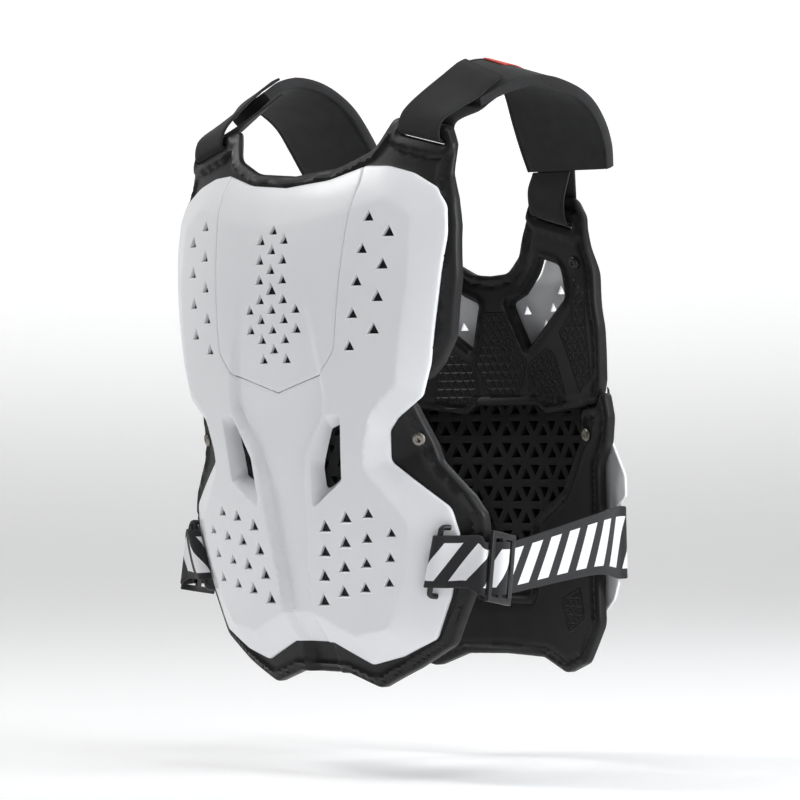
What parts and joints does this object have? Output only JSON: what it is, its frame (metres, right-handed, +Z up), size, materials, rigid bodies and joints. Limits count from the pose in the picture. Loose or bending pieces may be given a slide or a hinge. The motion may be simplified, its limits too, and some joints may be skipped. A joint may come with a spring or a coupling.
{
  "type": "roost deflector",
  "caption": "Chest and back protector of two curved plates with foam liners, joined by arched shoulder pads and elastic side straps.",
  "frame": {"origin": "where it rests on the shoulders, midway between the two shoulder pads and level with their undersides", "axes": "+X to the wearer's left, -Y is the chest side, +Y is the back side, +Z up"},
  "size_m": [0.3682, 0.3038, 0.5093],
  "materials": {
    "white_shell": "satin gloss",
    "foam": "matt with a fine knit",
    "net": "matt",
    "metal": "dull",
    "black_plastic": "satin",
    "pad_cloth": "woven, matt",
    "tag": "woven",
    "webbing": "hook and loop, matt",
    "elastic": "ribbed elastic with white slanted bars",
    "clip_plastic": "satin"
  },
  "bodies": {
    "root": {"front_shell": "white_shell", "front_centre_panel": "white_shell", "back_shell": "white_shell", "front_upper_liner": "foam", "front_lower_liner": "foam", "back_upper_pad": "foam", "back_lower_pad": "foam", "front_net_pad": "net", "back_net_pad": "net", "front_rivet_left": "metal", "front_rivet_right": "metal", "back_waist_rivet_left": "metal", "back_waist_rivet_right": "metal", "back_ear_rivet_left": "black_plastic", "back_ear_rivet_right": "black_plastic", "strap_hook_left": "black_plastic", "strap_hook_right": "black_plastic", "strap_slider_left": "black_plastic", "strap_slider_right": "black_plastic", "shoulder_pad_left": "pad_cloth", "shoulder_pad_right": "pad_cloth", "shoulder_tag_left": "tag", "shoulder_tag_right": "tag", "front_webbing_left": "webbing", "front_webbing_right": "webbing", "back_webbing_left": "webbing", "back_webbing_right": "webbing", "side_strap_left": "elastic", "side_strap_right": "elastic", "strap_clip_left": "clip_plastic", "strap_clip_right": "clip_plastic"}
  },
  "joints": []
}
